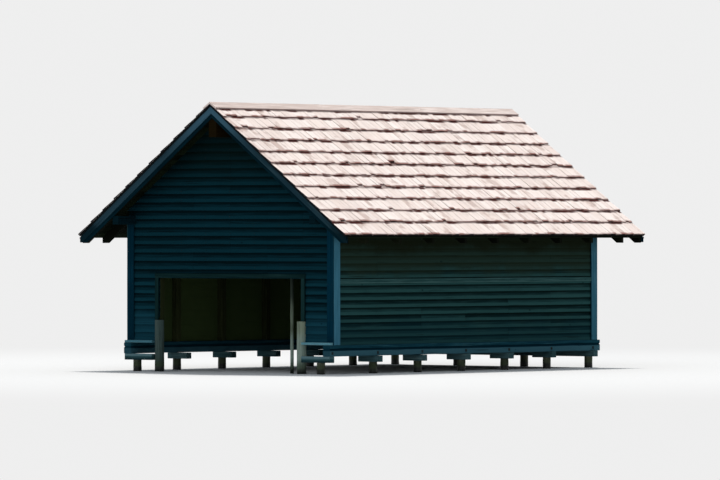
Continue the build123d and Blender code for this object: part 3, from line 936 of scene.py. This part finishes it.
# Painted shadow along the top edge of the head board, under the lowest gable board, and along one edge of
# each jamb board.
frame_stain = wood_finish("opening_frame_stain", (20, 46, 47), (8, 29, 30), (38, 62, 62), 0.35,
                          lines=((0, (0, 16, 18), -0.62, -0.92, 0.8),))
size = spans("head_board")[3]
fixed(carried("trim_head", squared(size[2], trim, worn_edge), *lengthwise("head_board", 0), (0, -1, 0),
              trim_steps, waver=trim_waver, seed=143), frame_stain, "head_board")
low, high, middle = spans("jamb_boards")[:3]
jamb_board = high[0] - opening_edge
jamb_board_x = opening_edge + jamb_board / 2
fixed(carried("trim_jambs", squared(jamb_board, trim, worn_edge), both(jamb_board_x, middle[1], low[2]),
              both(jamb_board_x, middle[1], high[2]), (0, 1, 0), seed=144), frame_stain, "jamb_boards")


# Nails hold the boards, one through each course at each post, and bolts with square washers hold the sills
# down on the pile heads. They are plain steel, stained over with the boards and rusting in patches.
def pegs(name, places, outward, radius, height, facets):
    """Short prisms that stand on points of a face, as one closed mesh.

    corner = place + radius (cos a first + sin a second) + rise outward, where first and second lie in the
    face.
    """
    places, outward = np.asarray(places, float), np.asarray(outward, float)
    first = np.cross(outward, np.where(np.abs(outward[:, 2:]) > 0.9, (1.0, 0, 0), (0, 0, 1.0)))
    first /= np.linalg.norm(first, axis=1)[:, None]
    second = np.cross(outward, first)
    a = (np.arange(facets) + 0.5) * 2 * np.pi / facets
    ring = radius * (np.cos(a)[None, :, None] * first[:, None] + np.sin(a)[None, :, None] * second[:, None])
    rise = np.array([-0.004, height * 0.7, height])[None, :, None, None] * outward[:, None, None]
    size = np.array([1, 1, 0.8])[None, :, None, None]
    points = (places[:, None, None] + rise + size * ring[:, None]).reshape(-1, 3)
    _, loops, _, starts = tube_faces(len(places), 3, facets, turned=True)
    return joined_mesh(name, points, loops, starts, {"grain": np.zeros((len(loops), 2))},
                       np.full((len(loops), 4), 0.5))


def steel_finish(name, stain, rust):
    """Steel stained over with the boards, with rust in cloudy patches."""
    f = Finish(name)
    cloud = f.noise(f.place((14, 14, 14)))
    f.colour = f.blend(f.step(cloud, 0.42, 0.62), stain, rust)
    return f.surface(0.6 + cloud * 0.3, cloud, 0.0006, 0.1)


nail_radius, nail_head = 0.0055, 0.002
fixed(pegs("nails_walls", np.concatenate(nail_places), np.concatenate(nail_faces), nail_radius, nail_head, 6),
      steel_finish("nail_steel", (22, 44, 48), (44, 34, 28)))
sill_high, sill_mid = spans("sill_right")[1:3]
bolt_drop = 0.045
bolt_at = both(sill_high[0], pile_rows, sill_mid[2] - bolt_drop)
bolt_out = [(np.sign(x), 0, 0) for x, y, z in bolt_at]
bolt_steel = steel_finish("bolt_steel", (30, 48, 54), (34, 38, 38))
for name, radius, height, facets in (("washers_sill", 0.038, 0.004, 4), ("bolts_sill", 0.015, 0.014, 6)):
    fixed(pegs(name, bolt_at, bolt_out, radius, height, facets), bolt_steel)


# The floor is a wide pale disc that only carries the shadow: past the building it fades into the background.
backdrop = (0.86, 0.86, 0.86, 1)
floor_radius = 600


def floor_finish():
    """Pale matt floor near the building that turns into the background's own colour further out."""
    f = Finish("studio_floor")
    x, y, z = f.parts(f.place())
    out = f.node("Math", {0: x * x + y * y}, operation="SQRT")["Value"]
    matt = f.node("BsdfDiffuse", {"Color": (0.78, 0.78, 0.78, 1)})["BSDF"]
    glow = f.node("Emission", {"Color": backdrop})["Emission"]
    mixed = f.node("MixShader", {0: f.step(out, 7.0, 26.0), 1: matt, 2: glow})["Shader"]
    f.node("OutputMaterial", {"Surface": mixed})
    return f.material


angles = np.linspace(0, 2 * np.pi, 96, endpoint=False)
rim = np.stack([floor_radius * np.cos(angles), floor_radius * np.sin(angles), 0 * angles - 0.001], 1)
floor_mesh = bpy.data.meshes.new("floor")
floor_mesh.from_pydata(rim.tolist(), [], [list(range(len(rim)))])
floor = bpy.data.objects.new("floor", floor_mesh)
bpy.context.scene.collection.objects.link(floor)
floor.data.materials.append(floor_finish())

# Light: a broad soft lamp high above and a little behind lights the roof. The world and a weak wide lamp in
# front fill the shaded walls.
studio = Finish("studio", bpy.data.worlds.new("studio"))
path = studio.node("LightPath")
seen = path["Is Camera Ray"].most(path["Is Glossy Ray"]).most(path["Is Transmission Ray"])
fill = studio.node("Background", {"Color": (0.86, 0.93, 1.0, 1), "Strength": 0.45})["Background"]
white = studio.node("Background", {"Color": backdrop})["Background"]
chosen = studio.node("MixShader", {0: seen, 1: fill, 2: white})["Shader"]
studio.node("OutputWorld", {"Surface": chosen})
bpy.context.scene.world = studio.material


def lamp(name, towards, strength, spread, colour):
    """Sun lamp that shines from a direction, softened over a wide angle in degrees."""
    light = bpy.data.lights.new(name, "SUN")
    light.energy = strength
    light.angle = math.radians(spread)
    light.color = colour
    lamp_object = bpy.data.objects.new(name, light)
    lamp_object.rotation_mode = "QUATERNION"
    lamp_object.rotation_quaternion = Vector(towards).to_track_quat("Z", "Y")
    bpy.context.scene.collection.objects.link(lamp_object)


lamp("key", (-0.15, 0.25, 1.0), 2.6, 9, (1.0, 0.97, 0.93))
lamp("front_fill", (0.4, -1.0, 0.35), 0.5, 60, (0.92, 0.96, 1.0))

# Camera: far off to the front right, about level with the eaves, with a long lens.
bearing = math.radians(39.4)
distance = 124.0
camera_height = 2.66
sideways = 0.72
photo_focal, photo_width = 2402, 720
closer = 2.7
ahead = Vector((-math.sin(bearing), math.cos(bearing), 0))
right = Vector((math.cos(bearing), math.sin(bearing), 0))
camera_data = bpy.data.cameras.new("camera")
camera_data.sensor_width = 36
camera_data.lens = photo_focal * closer * camera_data.sensor_width / photo_width
camera_data.clip_end = 2000
camera = bpy.data.objects.new("camera", camera_data)
camera.location = -distance * ahead - sideways * right + Vector((0, 0, camera_height))
aim_height, aim_left = 2.469, 0.098
aim = Vector((0, 0, aim_height)) - right * aim_left
camera.rotation_mode = "QUATERNION"
camera.rotation_quaternion = (aim - camera.location).to_track_quat("-Z", "Y")
bpy.context.scene.collection.objects.link(camera)
bpy.context.scene.camera = camera
bpy.context.scene.view_settings.view_transform = "Standard"
